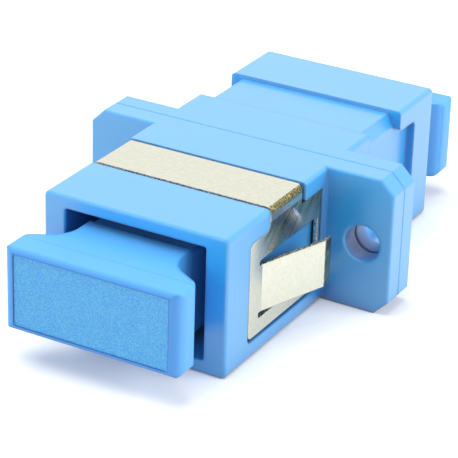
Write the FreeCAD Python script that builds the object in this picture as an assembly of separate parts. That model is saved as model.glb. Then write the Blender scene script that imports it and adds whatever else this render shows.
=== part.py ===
import FreeCAD, Part
import math
import os

from FreeCAD import Placement, Rotation, Vector

# SC simplex fibre adapter with a sprung panel clip and a dust cap in each socket, in mm.
# X runs across the flange, Y along the fibre with the clip and the front socket on -Y, Z up.
# The origin is the middle of the alignment sleeve, on the ferrule axis.

# Housing: two copies of one moulding, welded face to face across the middle of the flange
body_width = 12.78
body_height = 9.22
body_length = 27.9
body_edge_radius = 0.3
mouth_edge_radius = 0.16
hole_pitch = 18.0
hole_diameter = 2.4
hole_end_margin = 0.8
hole_rim_chamfer = 0.1
hole_parting_chamfer = 0.13
flange_thickness = 3.0
flange_corner = 0.93
flange_edge_radius = 0.12
parting_chamfer = 0.06
socket_width = 9.74
socket_height = 7.52
socket_corner_radius = 0.15
socket_rim_chamfer = 0.08
keyway_width = 2.4
keyway_length = 8.6
weld_pin_diameter = 1.0
weld_pin_length = 0.8
weld_pin_past_body = 1.03
weld_pin_apart = 5.8
weld_pin_clearance = 0.05

# Recess that the clip lies in
recess_top_depth = 0.27
recess_side_depth = 0.54
recess_collar = 5.03
recess_band_width = 4.52
recess_shoulder_height = 1.41
recess_front_margin = 2.68
recess_flange_rib = 0.5
recess_tooth_drop = 1.2
recess_sill = 1.1
recess_facet_across = 0.38
recess_facet_drop = 0.85

# Spring clip: one folded strip of stainless sheet
sheet = 0.25
clip_fold_radius = 0.12
clip_front_gap = 0.26
clip_edge_gap = 0.13
clip_band_gap = 0.25
clip_rear_gap = 0.08
clip_top_gap = 0.02
clip_side_gap = 0.18
clip_corner_radius = 0.4
window_front = 1.2
window_rear = 0.32
window_top = 1.55
window_bottom = -2.35
window_corner_radius = 0.17
slot_gap = 0.37
tab_root = 0.4
tab_length = 5.25
tab_angle = 19.0
tab_lip_length = 0.67
tab_fold_radius = 0.35

# Latch insert: base plate, sleeve holder and two hooked arms in one moulding
plate_thickness = 1.2
plate_side_rim = 0.4
plate_end_rim = 0.32
plate_clearance = 0.08
plate_corner_radius = 0.4
holder_wall = 0.54
holder_lip_length = 0.7
holder_lip_bore = 2.9
holder_lead_in = 0.3
holder_root_chamfer = 0.3
arm_length = 9.4
arm_thickness = 0.55
arm_height = 3.0
arm_flex_gap = 0.4
arm_root_radius = 0.3
hook_reach = 0.3
hook_length = 1.1
hook_flat = 0.3

# Split sleeve: zirconia tube slit along one side
ferrule_diameter = 2.5
sleeve_wall = 0.35
sleeve_length = 11.4
sleeve_slot = 0.5
sleeve_chamfer = 0.1
sleeve_clearance = 0.06

# Dust cap: moulded head, waisted neck and a hollow plug that grips the sleeve holder
cap_head_width = 12.22
cap_height = 5.4
cap_rise = 0.3
cap_stand_off = 4.92
cap_head_depth = 1.92
cap_neck_width = 7.2
cap_waist_length = 1.47
cap_shoulder_radius = 0.9
cap_waist_radius = 2.0
cap_corner_radius = 0.8
cap_rim_radius = 0.3
cap_side_radius = 0.45
cap_panel_side_margin = 0.78
cap_panel_edge_margin = 0.34
cap_panel_depth = 0.05
cap_panel_radius = 0.18
cap_plug_width = 7.0
cap_plug_height = 5.6
cap_plug_inset = 0.8
cap_grip_clearance = 0.05
cap_plug_gap = 2.0
cap_core_past_holder = 5.5
cap_lead_in = 0.3
rear_cap_push = 0.33

half_body = body_length / 2
half_flange = flange_thickness / 2
side = body_width / 2
top = body_height / 2
flange_end = hole_pitch / 2 + hole_diameter / 2 + hole_end_margin
beyond = 2 * body_width


def box(low, high):
    """A box between two opposite corners."""
    low, high = Vector(*low), Vector(*high)
    size = high - low
    return Part.makeBox(size.x, size.y, size.z, low)


def rod(diameter, start, end, x=0.0, z=0.0):
    """A round bar along Y."""
    low, high = min(start, end), max(start, end)
    return Part.makeCylinder(diameter / 2, high - low, Vector(x, low, z), Vector(0, 1, 0))


def cone(start_diameter, end_diameter, start, end, x=0.0, z=0.0):
    """A taper along Y from one diameter to another."""
    axis = Vector(0, math.copysign(1, end - start), 0)
    return Part.makeCone(start_diameter / 2, end_diameter / 2, abs(end - start), Vector(x, start, z), axis)


def outline(corners, place):
    """A closed wire through corners given as (u, v, radius), rounded where the radius isn't 0.

    place turns (u, v) into a point in space."""
    points = [Vector(u, v, 0) for u, v, radius in corners]
    edges = []
    ends = []
    for n, (u, v, radius) in enumerate(corners):
        here = points[n]
        back = (points[n - 1] - here).normalize()
        ahead = (points[(n + 1) % len(points)] - here).normalize()
        if radius == 0:
            ends.append((here, None, here))
            continue
        half_angle = back.getAngle(ahead) / 2
        reach = radius / math.tan(half_angle)
        centre = here + (back + ahead).normalize() * (radius / math.sin(half_angle))
        middle = centre + (here - centre).normalize() * radius
        ends.append((here + back * reach, middle, here + ahead * reach))
    for n, (start, middle, end) in enumerate(ends):
        following = ends[(n + 1) % len(ends)][0]
        if middle is not None:
            edges.append(Part.Arc(place(start), place(middle), place(end)).toShape())
        if (following - end).Length > 1e-7:
            edges.append(Part.makeLine(place(end), place(following)))
    return Part.Wire(edges)


def prism_y(corners, start, end):
    """An outline in X and Z, pushed along Y from start to end."""
    face = Part.Face(outline(corners, lambda p: Vector(p.x, start, p.y)))
    return face.extrude(Vector(0, end - start, 0))


def prism_x(corners, start, end):
    """An outline in Y and Z, pushed along X from start to end."""
    face = Part.Face(outline(corners, lambda p: Vector(start, p.x, p.y)))
    return face.extrude(Vector(end - start, 0, 0))


def prism_z(corners, start, end):
    """An outline in X and Y, pushed along Z from start to end."""
    face = Part.Face(outline(corners, lambda p: Vector(p.x, p.y, start)))
    return face.extrude(Vector(0, 0, end - start))


def rectangle(half_width, half_height, radius):
    """Corners of a centred rectangle."""
    return [
        (-half_width, -half_height, radius),
        (half_width, -half_height, radius),
        (half_width, half_height, radius),
        (-half_width, half_height, radius),
    ]


def folded_sheet(points, thickness, inside_radius):
    """The outline of a strip folded along points, with the sheet on the left of the way they run."""
    points = [Vector(u, v, 0) for u, v in points]
    normals = []
    for here, following in zip(points, points[1:]):
        along = (following - here).normalize()
        normals.append(Vector(-along.y, along.x, 0))
    near = [(points[0].x, points[0].y, 0)]
    far = [points[0] + normals[0] * thickness]
    far = [(far[0].x, far[0].y, 0)]
    for here, before, after in zip(points[1:], normals, normals[1:]):
        miter = (before + after).normalize()
        across = here + miter * (thickness / miter.dot(after))
        turns_left = before.cross(after).z > 0
        near_radius = inside_radius + (thickness if turns_left else 0)
        far_radius = inside_radius + (0 if turns_left else thickness)
        near.append((here.x, here.y, near_radius))
        far.append((across.x, across.y, far_radius))
    last = points[-1] + normals[-1] * thickness
    near.append((points[-1].x, points[-1].y, 0))
    far.append((last.x, last.y, 0))
    return near + far[::-1]


def both_sides(shape):
    """A shape and its mirror image across the YZ plane."""
    return shape.fuse(shape.mirror(Vector(0, 0, 0), Vector(1, 0, 0)))


def edges_at(shape, holds):
    """The edges whose every corner and middle point meet a condition."""
    found = []
    for edge in shape.Edges:
        middle = edge.valueAt((edge.FirstParameter + edge.LastParameter) / 2)
        if all(holds(p) for p in [v.Point for v in edge.Vertexes] + [middle]):
            found.append(edge)
    return found


def turned(shape, axis):
    """The same piece at the other end of the adapter, turned about the X or Z axis."""
    copy = shape.copy()
    copy.Placement = Placement(Vector(0, 0, 0), Rotation(axis, 180)) * copy.Placement
    return copy


# The recess, seen from the side: a band over the top that widens to a panel down each side
recess_floor_top = top - recess_top_depth
recess_floor_side = side - recess_side_depth
band_front = -half_body + recess_collar
band_rear = band_front + recess_band_width
panel_front = -half_body + recess_front_margin
panel_rear = -half_flange - recess_flange_rib
panel_top = top - recess_shoulder_height
panel_tooth = top - recess_tooth_drop
panel_bottom = -top + recess_sill


def recess_outline(front_gap, edge_gap, band_gap, rear_gap, radius):
    """The side view of the recess, drawn in by the gaps round the sheet that lies in it."""
    return [
        (band_front + front_gap, beyond, 0),
        (band_front + front_gap, panel_top - edge_gap, radius + edge_gap),
        (panel_front + front_gap, panel_top - edge_gap, radius),
        (panel_front + front_gap, panel_bottom + edge_gap, radius),
        (panel_rear - rear_gap, panel_bottom + edge_gap, radius),
        (panel_rear - rear_gap, panel_tooth - edge_gap, radius / 4),
        (band_rear - band_gap, panel_tooth - edge_gap, radius / 4),
        (band_rear - band_gap, beyond, 0),
    ]


def clip_recess():
    """What is cut from one half of the housing for the clip."""
    panel = prism_x(recess_outline(0, 0, 0, 0, clip_corner_radius), recess_floor_side, beyond)
    band = box((-beyond, band_front, recess_floor_top), (beyond, band_rear, beyond))
    facet = prism_y(
        [
            (recess_floor_side - recess_facet_across, recess_floor_top, 0),
            (recess_floor_side, recess_floor_top - recess_facet_drop, 0),
            (beyond, recess_floor_top - recess_facet_drop, 0),
            (beyond, recess_floor_top, 0),
        ],
        band_front,
        band_rear,
    )
    return band.fuse(both_sides(panel.fuse(facet)))


pocket_half_width = socket_width / 2 + plate_side_rim
pocket_half_height = socket_height / 2 + plate_end_rim
pocket_depth = plate_thickness + plate_clearance / 2


def housing_half():
    """The front half: socket, half of the flange, insert pocket, keyway and clip recess."""
    body = prism_y(rectangle(side, top, body_edge_radius), -half_body, 0)
    body = body.makeFillet(mouth_edge_radius, edges_at(body, lambda p: p.y < -half_body + 1e-6))
    corner = (flange_end, top)
    plate = prism_y(
        [
            (corner[0], -corner[1] + flange_corner, 0),
            (corner[0], corner[1] - flange_corner, 0),
            (corner[0] - flange_corner, corner[1], 0),
            (-corner[0] + flange_corner, corner[1], 0),
            (-corner[0], corner[1] - flange_corner, 0),
            (-corner[0], -corner[1] + flange_corner, 0),
            (-corner[0] + flange_corner, -corner[1], 0),
            (corner[0] - flange_corner, -corner[1], 0),
        ],
        -half_flange,
        0,
    )
    rim = edges_at(plate, lambda p: p.y < -half_flange + 1e-6)
    plate = plate.makeFillet(flange_edge_radius, rim)
    for x in (-hole_pitch / 2, hole_pitch / 2):
        plate = plate.cut(rod(hole_diameter, -beyond, beyond, x=x))
    rims = edges_at(plate, lambda p: p.y < -half_flange + 1e-6 and abs(p.z) < hole_diameter)
    plate = plate.makeChamfer(hole_rim_chamfer, [e for e in rims if len(e.Vertexes) == 1])
    half = body.fuse(plate).removeSplitter()
    parting = edges_at(half, lambda p: p.y > -1e-6)
    half = half.makeChamfer(parting_chamfer, [e for e in parting if len(e.Vertexes) > 1])
    parting = edges_at(half, lambda p: p.y > -1e-6)
    half = half.makeChamfer(hole_parting_chamfer, [e for e in parting if len(e.Vertexes) == 1])

    socket = rectangle(socket_width / 2, socket_height / 2, socket_corner_radius)
    half = half.cut(prism_y(socket, -beyond, 0))
    socket_rim = edges_at(half, lambda p: p.y < -half_body + 1e-6 and abs(p.x) < socket_width / 2 + 1e-6)
    half = half.makeChamfer(socket_rim_chamfer, socket_rim)
    pocket = rectangle(pocket_half_width, pocket_half_height, plate_corner_radius)
    half = half.cut(prism_y(pocket, -pocket_depth, beyond))
    keyway = box(
        (-keyway_width / 2, -beyond, -beyond),
        (keyway_width / 2, -half_body + keyway_length, 0),
    )
    half = half.cut(keyway)
    half = half.cut(clip_recess())

    for z in (-weld_pin_apart / 2, weld_pin_apart / 2):
        pin_x = side + weld_pin_past_body
        hole = rod(
            weld_pin_diameter + 2 * weld_pin_clearance,
            -weld_pin_length - weld_pin_clearance,
            beyond,
            x=-pin_x,
            z=z,
        )
        half = half.cut(hole)
        half = half.fuse(rod(weld_pin_diameter, 0, weld_pin_length, x=pin_x, z=z))
    return half.removeSplitter()


holder_bore = ferrule_diameter + 2 * sleeve_wall + 2 * sleeve_clearance
holder_diameter = holder_bore + 2 * holder_wall
holder_seat = sleeve_length / 2 + sleeve_clearance
holder_end = holder_seat + holder_lip_length


def latch_insert():
    """The front insert, seated in the housing pocket."""
    plate = prism_y(
        rectangle(
            pocket_half_width - plate_clearance,
            pocket_half_height - plate_clearance,
            plate_corner_radius - plate_clearance,
        ),
        -plate_thickness,
        0,
    )
    holder = rod(holder_diameter, 0, -holder_end)
    insert = plate.fuse(holder)
    foot = [e for e in edges_at(insert, lambda p: abs(p.y + plate_thickness) < 1e-6) if len(e.Vertexes) == 1]
    insert = insert.makeChamfer(holder_root_chamfer, foot)
    tip = [e for e in edges_at(insert, lambda p: p.y < -holder_end + 1e-6)]
    insert = insert.makeChamfer(holder_lead_in / 2, tip)

    outside = socket_width / 2 - arm_flex_gap
    inside = outside - arm_thickness
    tip_y = -arm_length
    catch_y = tip_y + hook_length
    arm = prism_z(
        [
            (outside, 0, 0),
            (outside, tip_y, 0),
            (inside, tip_y, 0),
            (inside - hook_reach, catch_y - hook_flat, 0),
            (inside - hook_reach, catch_y, 0),
            (inside, catch_y, 0),
            (inside, -plate_thickness, arm_root_radius),
            (inside - 1.5 * arm_root_radius, -plate_thickness, 0),
            (inside - 1.5 * arm_root_radius, 0, 0),
        ],
        -arm_height / 2,
        arm_height / 2,
    )
    insert = insert.fuse(both_sides(arm))
    insert = insert.cut(rod(holder_bore, beyond, -holder_seat))
    insert = insert.cut(rod(holder_lip_bore, 0, -beyond))
    lead_in = cone(holder_lip_bore, holder_lip_bore + 2 * holder_lead_in, -holder_end + holder_lead_in, -holder_end)
    return insert.cut(lead_in).removeSplitter()


def split_sleeve():
    """The slit tube that lines up two ferrules."""
    outer = ferrule_diameter + 2 * sleeve_wall
    sleeve = rod(outer, -sleeve_length / 2, sleeve_length / 2)
    ends = edges_at(sleeve, lambda p: abs(p.y) > sleeve_length / 2 - 1e-6)
    sleeve = sleeve.makeChamfer(sleeve_chamfer, ends)
    sleeve = sleeve.cut(rod(ferrule_diameter, -beyond, beyond))
    slot = box((-sleeve_slot / 2, -beyond, 0), (sleeve_slot / 2, beyond, beyond))
    return sleeve.cut(slot)


def spring_clip():
    """The clip: a band over the top, a panel down each side and a tab flared from each panel."""
    inner_side = recess_floor_side + clip_side_gap
    inner_top = recess_floor_top + clip_top_gap
    saddle = folded_sheet(
        [
            (inner_side, -beyond),
            (inner_side, inner_top),
            (-inner_side, inner_top),
            (-inner_side, -beyond),
        ],
        -sheet,
        clip_fold_radius + sheet,
    )
    clip = prism_y(saddle, panel_front, panel_rear)
    sides = recess_outline(clip_front_gap, clip_edge_gap, clip_band_gap, clip_rear_gap, clip_corner_radius)
    clip = clip.common(prism_x(sides, -beyond, beyond))

    window_start = panel_front + clip_front_gap + window_front
    window_end = panel_rear - clip_rear_gap - window_rear
    window = [
        (window_start, window_bottom, window_corner_radius),
        (window_end, window_bottom, window_corner_radius),
        (window_end, window_top, window_corner_radius),
        (window_start, window_top, window_corner_radius),
    ]
    clip = clip.cut(prism_x(window, -beyond, beyond))

    bend = window_start + tab_root
    flare = math.radians(tab_angle)
    free = (inner_side + tab_length * math.sin(flare), bend + tab_length * math.cos(flare))
    strip = folded_sheet(
        [
            (inner_side, window_start - sheet),
            (inner_side, bend),
            free,
            (free[0], free[1] + tab_lip_length),
        ],
        -sheet,
        tab_fold_radius,
    )
    tab = prism_z(strip, window_bottom + slot_gap, window_top - slot_gap)
    return clip.fuse(both_sides(tab)).removeSplitter()


def dust_cap():
    """The front cap, pushed home on the sleeve holder."""
    face_y = -half_body - cap_stand_off
    waist_y = face_y + cap_head_depth
    head = cap_head_width / 2
    neck = cap_neck_width / 2
    neck_end = -half_body + cap_plug_inset
    plug_end = -plate_thickness - cap_plug_gap
    low = cap_rise - cap_height / 2
    high = cap_rise + cap_height / 2
    plan = [
        (head, waist_y, cap_shoulder_radius),
        (neck, waist_y + cap_waist_length, cap_waist_radius),
        (neck, neck_end, 0),
        (-neck, neck_end, 0),
        (-neck, waist_y + cap_waist_length, cap_waist_radius),
        (-head, waist_y, cap_shoulder_radius),
        (-head, face_y, cap_corner_radius),
        (head, face_y, cap_corner_radius),
    ]
    profile = [
        (face_y, low, cap_rim_radius),
        (face_y, high, cap_rim_radius),
        (neck_end, high, 0),
        (neck_end, low, 0),
    ]
    front_view = [
        (-head, low, cap_side_radius),
        (head, low, cap_side_radius),
        (head, high, cap_side_radius),
        (-head, high, cap_side_radius),
    ]
    cap = prism_z(plan, low, high).common(prism_x(profile, -head, head))
    cap = cap.common(prism_y(front_view, face_y, neck_end))
    plug = prism_y(rectangle(cap_plug_width / 2, cap_plug_height / 2, 0), neck_end, plug_end)
    plug = plug.makeChamfer(cap_lead_in, edges_at(plug, lambda p: p.y > plug_end - 1e-6))
    cap = cap.fuse(plug)
    panel_x = head - cap_panel_side_margin
    panel = [
        (-panel_x, low + cap_panel_edge_margin, cap_panel_radius),
        (panel_x, low + cap_panel_edge_margin, cap_panel_radius),
        (panel_x, high - cap_panel_edge_margin, cap_panel_radius),
        (-panel_x, high - cap_panel_edge_margin, cap_panel_radius),
    ]
    cap = cap.cut(prism_y(panel, -beyond, face_y + cap_panel_depth))
    core = holder_diameter + 2 * cap_grip_clearance
    cap = cap.cut(rod(core, 0, -holder_end - cap_core_past_holder))
    mouth = cone(core, core + 2 * cap_lead_in, plug_end - cap_lead_in, plug_end)
    return cap.cut(mouth).removeSplitter()


front_housing = housing_half()
front_latch_insert = latch_insert()
front_dust_cap = dust_cap()
rear_dust_cap = turned(front_dust_cap, Vector(1, 0, 0))
rear_dust_cap.translate(Vector(0, -rear_cap_push, 0))
pieces = {
    "front_housing": front_housing,
    "rear_housing": turned(front_housing, Vector(0, 0, 1)),
    "front_latch_insert": front_latch_insert,
    "rear_latch_insert": turned(front_latch_insert, Vector(0, 0, 1)),
    "split_sleeve": split_sleeve(),
    "spring_clip": spring_clip(),
    "front_dust_cap": front_dust_cap,
    "rear_dust_cap": rear_dust_cap,
}

os.makedirs("parts", exist_ok=True)
for name, shape in pieces.items():
    shape.exportStep(f"parts/{name}.step")
    print(f"{name}: {len(shape.Solids)} solid, {shape.Volume:.2f} mm3")
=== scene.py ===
import bpy
import math
from mathutils import Matrix, Vector


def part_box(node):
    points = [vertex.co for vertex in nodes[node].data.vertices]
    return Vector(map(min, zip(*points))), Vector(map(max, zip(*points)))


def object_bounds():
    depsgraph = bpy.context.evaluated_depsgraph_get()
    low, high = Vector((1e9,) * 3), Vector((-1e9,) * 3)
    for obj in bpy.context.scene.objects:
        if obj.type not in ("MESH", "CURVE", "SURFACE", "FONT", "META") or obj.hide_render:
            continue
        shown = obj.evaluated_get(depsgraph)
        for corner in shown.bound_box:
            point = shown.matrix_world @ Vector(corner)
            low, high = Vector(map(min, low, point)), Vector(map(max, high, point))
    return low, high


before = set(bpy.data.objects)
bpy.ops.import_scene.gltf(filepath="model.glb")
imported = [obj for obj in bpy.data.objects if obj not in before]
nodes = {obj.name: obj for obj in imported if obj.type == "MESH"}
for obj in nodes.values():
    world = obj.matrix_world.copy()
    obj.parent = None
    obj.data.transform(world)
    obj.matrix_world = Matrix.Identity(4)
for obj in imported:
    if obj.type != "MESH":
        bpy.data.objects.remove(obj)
cad_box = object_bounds()
MM = 0.001


# ---------------------------------------------------------------------------------------
# Housing halves: two copies of one moulding in glass-filled PBT, dyed light blue, shot in a
# polished mould and welded face to face across the flange. The socket runs into each end.

def linear(colour):
    """An sRGB hex colour as a linear RGBA value."""
    channels = [int(colour[n:n + 2], 16) / 255 for n in (1, 3, 5)]
    return [c / 12.92 if c <= 0.04045 else ((c + 0.055) / 1.055) ** 2.4 for c in channels] + [1.0]


def add(tree, kind, settings, links=None):
    """Adds one node: settings are attributes or input values, links are inputs and their sources.

    A source is an output, or a node where its first output is meant."""
    made = tree.nodes.new(kind)

    def entry(name):
        if isinstance(name, int):
            return made.inputs[name]
        return next(s for s in made.inputs if s.name == name and s.enabled)

    for name, value in settings.items():
        if isinstance(name, str) and hasattr(made, name):
            setattr(made, name, value)
        else:
            entry(name).default_value = value
    for name, source in (links or {}).items():
        if isinstance(source, bpy.types.Node):
            source = next(s for s in source.outputs if s.enabled)
        tree.links.new(source, entry(name))
    return made


def material(name):
    """An empty material, as its node tree, its shader and its place in the row frame."""
    made = bpy.data.materials.new(name)
    made.use_nodes = True
    tree = made.node_tree
    shader = tree.nodes["Principled BSDF"]
    place = add(tree, "ShaderNodeTexCoord", {}).outputs["Object"]
    return made, tree, shader, place


# How open a spot is to the light, from 0 at the bottom of a pit to 1 on a bare face: the ranges over which
# the painted shade takes a plastic from its deepest colour to that of a crease, and from there to its open
# colour.
PIT_TO_CREASE = (0.05, 0.35)
CREASE_TO_OPEN = (0.33, 0.7)


def moulded_plastic(name, light, dark, crease_shade, pit_shade, roughness, grain, gloss, softness, alone=False):
    """A dyed plastic from a mould: its colour drifts where it flowed, and painted shade darkens it in narrow
    gaps.

    Light and dark are the ends of the drift, the crease and pit colours are those of the painted shade,
    grain is how strongly the mould's finish shows, and softness is how far an edge's shine reaches into its
    two faces."""
    made, tree, shader, place = material(name)
    flow = add(tree, "ShaderNodeTexNoise", {"Scale": 1 / (6 * MM), "Detail": 3.0}, {"Vector": place})
    open_colour = add(
        tree,
        "ShaderNodeMix",
        {"data_type": "RGBA", "A": linear(dark), "B": linear(light)},
        {"Factor": flow},
    )
    # Painted shade: the colour darkens where other surfaces lie within a few millimetres, as if less light
    # reached there.
    # A piece that comes out of its gap reads alone, with only its own walls counted.
    openness = add(
        tree,
        "ShaderNodeAmbientOcclusion",
        {"samples": 8, "only_local": alone, "Distance": 3.0 * MM},
    ).outputs["AO"]
    out_of_pit = add(
        tree,
        "ShaderNodeMapRange",
        {"From Min": PIT_TO_CREASE[0], "From Max": PIT_TO_CREASE[1]},
        {"Value": openness},
    )
    out_of_crease = add(
        tree,
        "ShaderNodeMapRange",
        {"From Min": CREASE_TO_OPEN[0], "From Max": CREASE_TO_OPEN[1]},
        {"Value": openness},
    )
    # The painted shade runs from the pit colour to the crease colour.
    painted_shade_colour = add(
        tree,
        "ShaderNodeMix",
        {"data_type": "RGBA", "A": linear(pit_shade), "B": linear(crease_shade)},
        {"Factor": out_of_pit},
    )
    colour = add(
        tree,
        "ShaderNodeMix",
        {"data_type": "RGBA"},
        {"Factor": out_of_crease, "A": painted_shade_colour, "B": open_colour},
    )
    tree.links.new(colour.outputs[2], shader.inputs["Base Color"])
    # The mould's own finish is about 0.02 mm across. It is drawn four times as coarse, so that it shows.
    skin = add(tree, "ShaderNodeTexNoise", {"Scale": 1 / (0.08 * MM), "Detail": 2.0}, {"Vector": place})
    # A polished edge runs out into its two faces with no line between, so its shine is wide.
    edge = add(tree, "ShaderNodeBevel", {"samples": 6, "Radius": softness})
    bump = add(
        tree,
        "ShaderNodeBump",
        {"Strength": grain, "Distance": 0.004 * MM},
        {"Height": skin, "Normal": edge},
    )
    tree.links.new(bump.outputs["Normal"], shader.inputs["Normal"])
    shader.inputs["Roughness"].default_value = roughness
    shader.inputs["IOR"].default_value = 1.6
    shader.inputs["Specular IOR Level"].default_value = gloss
    return {
        "material": made,
        "tree": tree,
        "shader": shader,
        "place": place,
        "skin": bump,
        "colour": colour,
        "openness": openness,
    }


def finish(piece, made):
    """Gives a CAD node one material in every slot."""
    mesh = nodes[piece].data
    if not mesh.materials:
        mesh.materials.append(made)
    for n in range(len(mesh.materials)):
        mesh.materials[n] = made


def moulded_housing():
    """PBT from a polished mould: a saturated blue under a clear, resin-rich skin with a pale bloom."""
    plastic = moulded_plastic(
        "moulded_blue_pbt",
        light="#18a6ee",
        dark="#129fe8",
        crease_shade="#127ccb",
        pit_shade="#071b44",
        roughness=0.36,
        grain=0.25,
        gloss=1.0,
        softness=0.32 * MM,
    )
    tree = plastic["tree"]
    shader = plastic["shader"]
    # Painted shade on the reflection: the coat thins where the colour gets painted shade, so the walls of a
    # gap shine less.
    skin = add(
        tree,
        "ShaderNodeMapRange",
        {"From Min": CREASE_TO_OPEN[0], "From Max": CREASE_TO_OPEN[1], "To Min": 0.1},
        {"Value": plastic["openness"]},
    )
    tree.links.new(skin.outputs["Result"], shader.inputs["Coat Weight"])
    shader.inputs["Coat Roughness"].default_value = 0.3
    shader.inputs["Coat IOR"].default_value = 1.65
    # A thin bloom of additives on the skin pales what is seen at a slant.
    shader.inputs["Sheen Weight"].default_value = 0.36
    shader.inputs["Sheen Roughness"].default_value = 0.4
    return plastic["material"]


housing_pbt = moulded_housing()
finish("front_housing", housing_pbt)
finish("rear_housing", housing_pbt)


# ---------------------------------------------------------------------------------------
# Latch inserts: one moulding in each half, with the sleeve holder and the two hooked arms that grip a plug.
# They are shot in an unpolished mould, and given a deeper blue than the housing: painted shade that keeps
# the inside of the socket dark.

insert_pbt = moulded_plastic(
    "moulded_deep_blue_pbt",
    light="#1d4f8c",
    dark="#1a4880",
    crease_shade="#123766",
    pit_shade="#061a3c",
    roughness=0.5,
    grain=0.4,
    gloss=0.5,
    softness=0.1 * MM,
)["material"]
finish("front_latch_insert", insert_pbt)
finish("rear_latch_insert", insert_pbt)


# ---------------------------------------------------------------------------------------
# Split sleeve: a ground zirconia tube with one slit, held loose between the two holders.

def ground_zirconia():
    """Zirconia, sintered and ground round: white, glossy, with faint rings of grinding along it."""
    made, tree, shader, place = material("ground_zirconia")
    shader.inputs["Base Color"].default_value = linear("#f1eee4")
    shader.inputs["Roughness"].default_value = 0.16
    shader.inputs["IOR"].default_value = 2.1
    # Grinding marks are about 0.005 mm apart. They are drawn at 0.06 mm, so that they show.
    rings = add(
        tree,
        "ShaderNodeTexWave",
        {"bands_direction": "Y", "Scale": 1 / (0.06 * MM) / 20, "Distortion": 2.0},
        {"Vector": place},
    )
    bump = add(
        tree,
        "ShaderNodeBump",
        {"Strength": 0.1, "Distance": 0.002 * MM},
        {"Height": rings.outputs["Fac"]},
    )
    tree.links.new(bump.outputs["Normal"], shader.inputs["Normal"])
    return made


finish("split_sleeve", ground_zirconia())


# ---------------------------------------------------------------------------------------
# Spring clip: one strip of rolled stainless sheet, stamped, folded over the housing and
# heat-tempered. The tabs spring behind a panel, so the adapter snaps into its cut-out.

CLIP_FRONT = -11.01 * MM
CLIP_FOLD_MIDDLE = 4.05 * MM
CLIP_FOLD_BOTTOM = 3.66 * MM
CLIP_LIP_FROM = 7.97 * MM
# The painted dark reflection on the sides starts at this height and is full a little higher. A margin along
# the front stays bright.
CLIP_DARK_REFLECTION_FROM = 0.9 * MM
CLIP_DARK_REFLECTION_FADE = 2.0 * MM
CLIP_BRIGHT_MARGIN = 0.3 * MM
CLIP_MARGIN_FADE = 1.7 * MM
CLIP_CRACK_FADE = 0.08 * MM
CLIP_LINE_SLANT = math.radians(-52)
CLIP_LINE_STRETCH = 16
# Where the painted highlight lies on the right side, how far it reaches and how it slants.
CLIP_HIGHLIGHT_MIDDLE = (6.28 * MM, -5.22 * MM, 2.87 * MM)
CLIP_HIGHLIGHT_HALF_SIZE = (1.0 * MM, 1.25 * MM, 0.26 * MM)
CLIP_HIGHLIGHT_SLANT = math.radians(-45)
# A face looks along an axis when its normal is at least this long on that axis.
CLIP_FACING = 0.9


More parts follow.
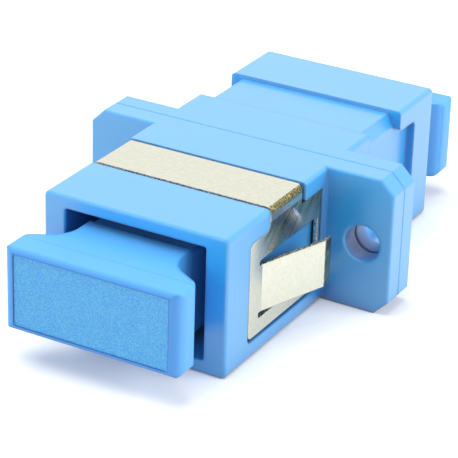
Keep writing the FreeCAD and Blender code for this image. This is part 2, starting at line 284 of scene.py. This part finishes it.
def rolled_stainless():
    """Spring stainless, rolled bright: warm white, brown along its fold, with a painted dark reflection and
    a painted highlight on its sides, rough where it is cut.
    """
    made, tree, shader, place = material("rolled_stainless_sheet")
    shader.inputs["Metallic"].default_value = 1.0

    # Rubbing in the stamping tool leaves lines of about 0.01 mm. They are drawn at 0.09 mm across.
    slanted = add(
        tree,
        "ShaderNodeMapping",
        {
            "vector_type": "TEXTURE",
            "Rotation": (CLIP_LINE_SLANT, 0, 0),
            "Scale": (1, 1 / CLIP_LINE_STRETCH, 1),
        },
        {"Vector": place},
    )
    lines = add(tree, "ShaderNodeTexNoise", {"Scale": 1 / (1.4 * MM), "Detail": 4.0}, {"Vector": slanted})
    streaks = add(tree, "ShaderNodeMapRange", {"From Min": 0.35, "From Max": 0.62}, {"Value": lines})

    # Torn metal breaks up at about 0.02 mm, and is drawn at 0.11 mm. The rolled face clouds at 0.25 mm.
    speckle = add(tree, "ShaderNodeTexNoise", {"Scale": 1 / (0.11 * MM), "Detail": 1.0}, {"Vector": place})
    flecks = add(tree, "ShaderNodeMapRange", {"From Min": 0.35, "From Max": 0.65}, {"Value": speckle})
    mottle = add(tree, "ShaderNodeTexNoise", {"Scale": 1 / (0.25 * MM), "Detail": 4.0}, {"Vector": place})

    # The stamped edges look along the fibre or, below the fold, up and down.
    at = add(tree, "ShaderNodeSeparateXYZ", {}, {"Vector": place}).outputs
    facing = add(tree, "ShaderNodeNewGeometry", {}).outputs["Normal"]
    faces = add(tree, "ShaderNodeSeparateXYZ", {}, {"Vector": facing}).outputs
    upright = add(tree, "ShaderNodeMath", {"operation": "ABSOLUTE"}, {0: faces["Z"]})
    endways = add(tree, "ShaderNodeMath", {"operation": "ABSOLUTE"}, {0: faces["Y"]})
    level = add(tree, "ShaderNodeMath", {"operation": "GREATER_THAN", 1: CLIP_FACING}, {0: upright})
    below_fold = add(tree, "ShaderNodeMath", {"operation": "LESS_THAN", 1: CLIP_FOLD_MIDDLE}, {0: at["Z"]})
    cut_across = add(tree, "ShaderNodeMath", {"operation": "MULTIPLY"}, {0: level, 1: below_fold})
    cut_end = add(tree, "ShaderNodeMath", {"operation": "GREATER_THAN", 1: CLIP_FACING}, {0: endways})
    cut = add(tree, "ShaderNodeMath", {"operation": "MAXIMUM"}, {0: cut_end, 1: cut_across})

    # The fold is cracked and browned along its outer half. Below it, the sides and the lip get a painted
    # dark reflection, streaked along the rub lines.
    off_top = add(tree, "ShaderNodeMath", {"operation": "LESS_THAN", 1: CLIP_FACING}, {0: upright})
    outer_half = add(
        tree,
        "ShaderNodeMapRange",
        {"From Min": CLIP_FOLD_MIDDLE, "From Max": CLIP_FOLD_MIDDLE + CLIP_CRACK_FADE},
        {"Value": at["Z"]},
    )
    cracked = add(tree, "ShaderNodeMath", {"operation": "MULTIPLY"}, {0: outer_half, 1: off_top})
    reflection_rise = add(
        tree,
        "ShaderNodeMapRange",
        {"From Min": CLIP_DARK_REFLECTION_FROM, "From Max": CLIP_DARK_REFLECTION_FROM + CLIP_DARK_REFLECTION_FADE},
        {"Value": at["Z"]},
    )
    margin = CLIP_FRONT + CLIP_BRIGHT_MARGIN
    inward = add(
        tree,
        "ShaderNodeMapRange",
        {"From Min": margin, "From Max": margin + CLIP_MARGIN_FADE},
        {"Value": at["Y"]},
    )
    under_fold = add(tree, "ShaderNodeMath", {"operation": "LESS_THAN", 1: CLIP_FOLD_BOTTOM}, {0: at["Z"]})
    reflection_on_side = add(tree, "ShaderNodeMath", {"operation": "MULTIPLY"}, {0: reflection_rise, 1: inward})
    side = add(tree, "ShaderNodeMath", {"operation": "MULTIPLY"}, {0: reflection_on_side, 1: under_fold})
    across = add(tree, "ShaderNodeMath", {"operation": "ABSOLUTE"}, {0: at["X"]})
    lip = add(tree, "ShaderNodeMath", {"operation": "GREATER_THAN", 1: CLIP_LIP_FROM}, {0: across})
    side_and_lip = add(tree, "ShaderNodeMath", {"operation": "MAXIMUM"}, {0: side, 1: lip})
    painted_reflection_and_scratches = add(tree, "ShaderNodeMath", {"operation": "MULTIPLY"}, {0: side_and_lip, 1: off_top})

    # Painted highlight: one short, slanted white streak on the right side, ragged at its edges, where the
    # bent metal would catch the light.
    at_highlight = add(
        tree,
        "ShaderNodeMapping",
        {
            "vector_type": "TEXTURE",
            "Location": CLIP_HIGHLIGHT_MIDDLE,
            "Rotation": (CLIP_HIGHLIGHT_SLANT, 0, 0),
            "Scale": CLIP_HIGHLIGHT_HALF_SIZE,
        },
        {"Vector": place},
    )
    near_highlight = add(tree, "ShaderNodeTexGradient", {"gradient_type": "SPHERICAL"}, {"Vector": at_highlight})
    ragged = add(
        tree, "ShaderNodeMath", {"operation": "MULTIPLY"}, {0: near_highlight.outputs["Fac"], 1: mottle}
    )
    painted_highlight = add(tree, "ShaderNodeMapRange", {"From Min": 0.1, "From Max": 0.36}, {"Value": ragged})

    # Each look of the metal runs between two colours, by its own pattern.
    looks = {}
    for look, pattern, dull, pale in (
        ("rolled", mottle, "#dbddca", "#f6f6e7"),
        ("dark_reflection", streaks, "#6b6850", "#c9c5a8"),
        ("browned", flecks, "#3c2e0e", "#e8d893"),
        ("end_cut", flecks, "#98a08e", "#f8faec"),
        ("cross_cut", flecks, "#3a4238", "#f2f4e6"),
    ):
        looks[look] = add(
            tree,
            "ShaderNodeMix",
            {"data_type": "RGBA", "A": linear(dull), "B": linear(pale)},
            {"Factor": pattern},
        )
    # Painted reflections: the dark streaked reflection, with the painted highlight in white.
    painted_reflections = add(
        tree,
        "ShaderNodeMix",
        {"data_type": "RGBA", "B": linear("#ffffff")},
        {"Factor": painted_highlight, "A": looks["dark_reflection"]},
    )
    colour = looks["rolled"]
    for mask, over in (
        (painted_reflection_and_scratches, painted_reflections),
        (cracked, looks["browned"]),
        (cut_end, looks["end_cut"]),
        (cut_across, looks["cross_cut"]),
    ):
        colour = add(
            tree, "ShaderNodeMix", {"data_type": "RGBA"}, {"Factor": mask, "A": colour, "B": over}
        )
    tree.links.new(colour.outputs[2], shader.inputs["Base Color"])

    # The rolled face is bright, and the cuts and the streak of the painted highlight are dull.
    rolled_finish = add(tree, "ShaderNodeMapRange", {"To Min": 0.12, "To Max": 0.24}, {"Value": mottle})
    cut_and_highlight = add(tree, "ShaderNodeMath", {"operation": "MAXIMUM"}, {0: cut, 1: painted_highlight})
    torn_finish = add(tree, "ShaderNodeMath", {"operation": "MULTIPLY", 1: 0.5}, {0: cut_and_highlight})
    roughness = add(tree, "ShaderNodeMath", {"operation": "MAXIMUM"}, {0: rolled_finish, 1: torn_finish})
    tree.links.new(roughness.outputs["Value"], shader.inputs["Roughness"])

    # The die rolls a stamped edge over a little before it tears, and the fold's cracks are open.
    rolled_over = add(tree, "ShaderNodeBevel", {"samples": 6, "Radius": 0.08 * MM})
    rubbed = add(tree, "ShaderNodeMath", {"operation": "MULTIPLY"}, {0: lines, 1: painted_reflection_and_scratches})
    height = add(tree, "ShaderNodeMath", {"operation": "ADD"}, {0: rubbed, 1: speckle})
    bump = add(
        tree,
        "ShaderNodeBump",
        {"Strength": 0.5, "Distance": 0.004 * MM},
        {"Height": height, "Normal": rolled_over},
    )
    crack_height = add(tree, "ShaderNodeMath", {"operation": "MULTIPLY"}, {0: cracked, 1: flecks})
    cracks = add(
        tree,
        "ShaderNodeBump",
        {"Strength": 0.8, "Distance": 0.04 * MM},
        {"Height": crack_height, "Normal": bump},
    )
    tree.links.new(cracks.outputs["Normal"], shader.inputs["Normal"])
    return made


finish("spring_clip", rolled_stainless())


# ---------------------------------------------------------------------------------------
# Dust caps: soft blue polyethylene, moulded in one piece. A hollow plug grips the sleeve
# holder, and the head has a spark-grained panel in a smooth border, for a fingertip.

CAP_PANEL_SIDE = 0.78 * MM
CAP_PANEL_EDGE = 0.34 * MM
CAP_RIM = 0.3 * MM
CAP_RIM_FADE = 0.48 * MM
CAP_STEP_WIDTH = 0.1 * MM
CAP_PARTING = 1.80 * MM
CAP_PARTING_WIDTH = 0.07 * MM
CAP_HEAD_HEIGHT = 5.4 * MM
CAP_HEAD_RISE = 0.3 * MM


def moulded_cap(piece):
    """Polyethylene, moulded: a little waxy, grained only inside the panel on one cap's head."""
    plastic = moulded_plastic(
        "moulded_blue_polyethylene",
        light="#5bb2f8",
        dark="#54abf4",
        crease_shade="#2d86e0",
        pit_shade="#082252",
        roughness=0.42,
        grain=0.2,
        gloss=0.75,
        softness=0.4 * MM,
        alone=True,
    )
    tree = plastic["tree"]
    shader = plastic["shader"]
    place = plastic["place"]
    low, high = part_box(piece)
    end = max(-low[1], high[1])
    # The rear cap is the front one turned over, so its head sits low where the front one sits high.
    middle = CAP_HEAD_RISE if -low[1] > high[1] else -CAP_HEAD_RISE

    at = add(tree, "ShaderNodeSeparateXYZ", {}, {"Vector": place}).outputs
    away = add(tree, "ShaderNodeMath", {"operation": "ABSOLUTE"}, {0: at["Y"]})
    across = add(tree, "ShaderNodeMath", {"operation": "ABSOLUTE"}, {0: at["X"]})
    above = add(tree, "ShaderNodeMath", {"operation": "SUBTRACT", 1: middle}, {0: at["Z"]})
    aside = add(tree, "ShaderNodeMath", {"operation": "ABSOLUTE"}, {0: above})
    at_end = add(tree, "ShaderNodeMath", {"operation": "GREATER_THAN", 1: end - CAP_RIM}, {0: away})
    past_width = add(
        tree, "ShaderNodeMath", {"operation": "SUBTRACT", 1: high[0] - CAP_PANEL_SIDE}, {0: across}
    )
    past_height = add(
        tree,
        "ShaderNodeMath",
        {"operation": "SUBTRACT", 1: CAP_HEAD_HEIGHT / 2 - CAP_PANEL_EDGE},
        {0: aside},
    )
    past_panel = add(tree, "ShaderNodeMath", {"operation": "MAXIMUM"}, {0: past_width, 1: past_height})
    inside = add(tree, "ShaderNodeMath", {"operation": "LESS_THAN", 1: 0.0}, {0: past_panel})
    panel = add(tree, "ShaderNodeMath", {"operation": "MULTIPLY"}, {0: at_end, 1: inside})
    off_panel = add(tree, "ShaderNodeMath", {"operation": "SUBTRACT", 0: 1.0}, {1: panel})
    # A band along the panel's edge, for the painted shadow in the step.
    outline = add(
        tree, "ShaderNodeMath", {"operation": "COMPARE", 1: 0.0, 2: CAP_STEP_WIDTH / 2}, {0: past_panel}
    )
    painted_step_shadow = add(tree, "ShaderNodeMath", {"operation": "MULTIPLY"}, {0: at_end, 1: outline})

    # Spark erosion leaves pits of about 0.05 mm. They are drawn at 0.16 mm, so that they show.
    pits = add(tree, "ShaderNodeTexNoise", {"Scale": 1 / (0.08 * MM), "Detail": 1.0}, {"Vector": place})
    pitted = add(tree, "ShaderNodeMapRange", {"From Min": 0.36, "From Max": 0.64}, {"Value": pits})
    grained = add(
        tree,
        "ShaderNodeMix",
        {"data_type": "RGBA", "A": linear("#66ccff"), "B": linear("#3ca8ff")},
        {"Factor": pitted},
    )
    # The smooth rim round the panel reads deeper than the grain, which scatters more; the rest of its
    # darkening is painted shade, since the rounded rim would otherwise catch more light than the flat border
    # it stands for. The step between them holds a painted fine shadow. The mould's parting line runs behind
    # the head.
    towards_end = add(
        tree,
        "ShaderNodeMapRange",
        {"interpolation_type": "SMOOTHSTEP", "From Min": end - CAP_RIM_FADE, "From Max": end},
        {"Value": away},
    )
    painted_rim_shade = add(tree, "ShaderNodeMath", {"operation": "MULTIPLY"}, {0: towards_end, 1: off_panel})
    parting = add(
        tree,
        "ShaderNodeMath",
        {"operation": "COMPARE", 1: end - CAP_PARTING, 2: CAP_PARTING_WIDTH / 2},
        {0: away},
    )
    rim_shade_and_parting = add(tree, "ShaderNodeMath", {"operation": "MAXIMUM"}, {0: painted_rim_shade, 1: parting})
    # Painted shade on the rim, and the dark parting line.
    rim_and_parting_colour = add(
        tree,
        "ShaderNodeMix",
        {"data_type": "RGBA", "blend_type": "MULTIPLY", "B": linear("#bde0f4")},
        {"Factor": rim_shade_and_parting, "A": plastic["colour"]},
    )
    head = add(tree, "ShaderNodeMix", {"data_type": "RGBA"}, {"Factor": panel, "A": rim_and_parting_colour, "B": grained})
    # Painted shadow in the step round the panel.
    shade = add(
        tree,
        "ShaderNodeMix",
        {"data_type": "RGBA", "blend_type": "MULTIPLY", "B": linear("#b4d4ea")},
        {"Factor": painted_step_shadow, "A": head},
    )
    tree.links.new(shade.outputs[2], shader.inputs["Base Color"])
    raised = add(tree, "ShaderNodeMath", {"operation": "SUBTRACT", 0: 1.0}, {1: pitted})
    height = add(tree, "ShaderNodeMath", {"operation": "MULTIPLY"}, {0: panel, 1: raised})
    grain = add(
        tree,
        "ShaderNodeBump",
        {"Strength": 0.9, "Distance": 0.05 * MM},
        {"Height": height, "Normal": plastic["skin"]},
    )
    tree.links.new(grain.outputs["Normal"], shader.inputs["Normal"])
    return plastic["material"]


for cap in ("front_dust_cap", "rear_dust_cap"):
    finish(cap, moulded_cap(cap))


# ---------------------------------------------------------------------------------------
# Table and studio light: the adapter lies on a white table inside a white tent. A wide soft
# box lights it from above, one from low on its right, and a weaker one from its front left.

def table_top(level):
    """A white table, shown white where nothing shades it, and pale where something does."""
    mesh = bpy.data.meshes.new("table")
    half_width = 1.5
    corners = [
        (-half_width, -half_width, level),
        (half_width, -half_width, level),
        (half_width, half_width, level),
        (-half_width, half_width, level),
    ]
    mesh.from_pydata(corners, [], [(0, 1, 2, 3)])
    table = bpy.data.objects.new("table", mesh)
    bpy.context.scene.collection.objects.link(table)
    made, tree, shader, _ = material("white_laminate")
    seen = add(tree, "ShaderNodeLightPath", {}).outputs
    mirrored = add(
        tree,
        "ShaderNodeMath",
        {"operation": "MAXIMUM"},
        {0: seen["Is Glossy Ray"], 1: seen["Is Transmission Ray"]},
    )
    # In a reflection the table is as white as the tent, and its shadows are a little paler there.
    share = add(
        tree,
        "ShaderNodeMath",
        {"operation": "MULTIPLY_ADD", 1: 0.25},
        {0: mirrored, 2: seen["Is Camera Ray"]},
    )
    colour = add(
        tree,
        "ShaderNodeMix",
        {"data_type": "RGBA", "A": linear("#c8c8c8"), "B": linear("#ffffff")},
        {"Factor": share},
    )
    tree.links.new(colour.outputs[2], shader.inputs["Base Color"])
    direct_glow = add(tree, "ShaderNodeMath", {"operation": "MULTIPLY", 1: 0.12}, {0: seen["Is Camera Ray"]})
    glow = add(
        tree,
        "ShaderNodeMath",
        {"operation": "MULTIPLY_ADD", 1: 0.26},
        {0: mirrored, 2: direct_glow},
    )
    shader.inputs["Emission Color"].default_value = linear("#ffffff")
    tree.links.new(glow.outputs["Value"], shader.inputs["Emission Strength"])
    shader.inputs["Roughness"].default_value = 0.9
    shader.inputs["Specular IOR Level"].default_value = 0.0
    mesh.materials.append(made)


just_clear = 0.01 * MM
table_top(cad_box[0][2] - just_clear)


def soft_box(name, place, size, power):
    """A square lamp that faces the adapter."""
    lamp = bpy.data.lights.new(name, "AREA")
    lamp.shape = "SQUARE"
    lamp.size = size
    lamp.energy = power
    made = bpy.data.objects.new(name, lamp)
    bpy.context.scene.collection.objects.link(made)
    made.location = place
    made.rotation_euler = (-Vector(place)).to_track_quat("-Z", "Y").to_euler()
    # What the surfaces mirror is the white tent, not the lamps outside it.
    made.visible_glossy = False


soft_box("key_light", (-0.12, -0.03, 0.43), 0.45, 1.75)
soft_box("side_light", (0.42, 0.10, 0.16), 0.30, 1.5)
soft_box("fill_light", (-0.36, -0.34, 0.12), 0.30, 1.05)

world = bpy.data.worlds.new("studio")
bpy.context.scene.world = world
world.use_nodes = True
sky = world.node_tree
backdrop = sky.nodes["Background"]
path = add(sky, "ShaderNodeLightPath", {}).outputs
plain = add(
    sky, "ShaderNodeMath", {"operation": "MAXIMUM"}, {0: path["Is Camera Ray"], 1: path["Is Glossy Ray"]}
)
shown = add(sky, "ShaderNodeMath", {"operation": "MAXIMUM"}, {0: plain, 1: path["Is Transmission Ray"]})
strength = add(sky, "ShaderNodeMapRange", {"To Min": 0.45, "To Max": 1.0}, {"Value": shown})
backdrop.inputs["Color"].default_value = linear("#ffffff")
sky.links.new(strength.outputs["Result"], backdrop.inputs["Strength"])


# ---------------------------------------------------------------------------------------
# Camera: above the adapter's front right corner, with a long lens.

lens = bpy.data.cameras.new("camera")
lens.sensor_width = 36.0
lens.lens = 176.8
lens.clip_start = 0.01
lens.clip_end = 10.0
camera = bpy.data.objects.new("camera", lens)
bpy.context.scene.collection.objects.link(camera)
camera.matrix_world = (
    Matrix.Translation((0.06252, -0.11596, 0.06149))
    @ Matrix.Rotation(math.radians(28.83), 4, "Z")
    @ Matrix.Rotation(math.radians(64.27), 4, "X")
    @ Matrix.Rotation(math.radians(1.81), 4, "Z")
)
bpy.context.scene.camera = camera
bpy.context.scene.view_settings.view_transform = "Standard"
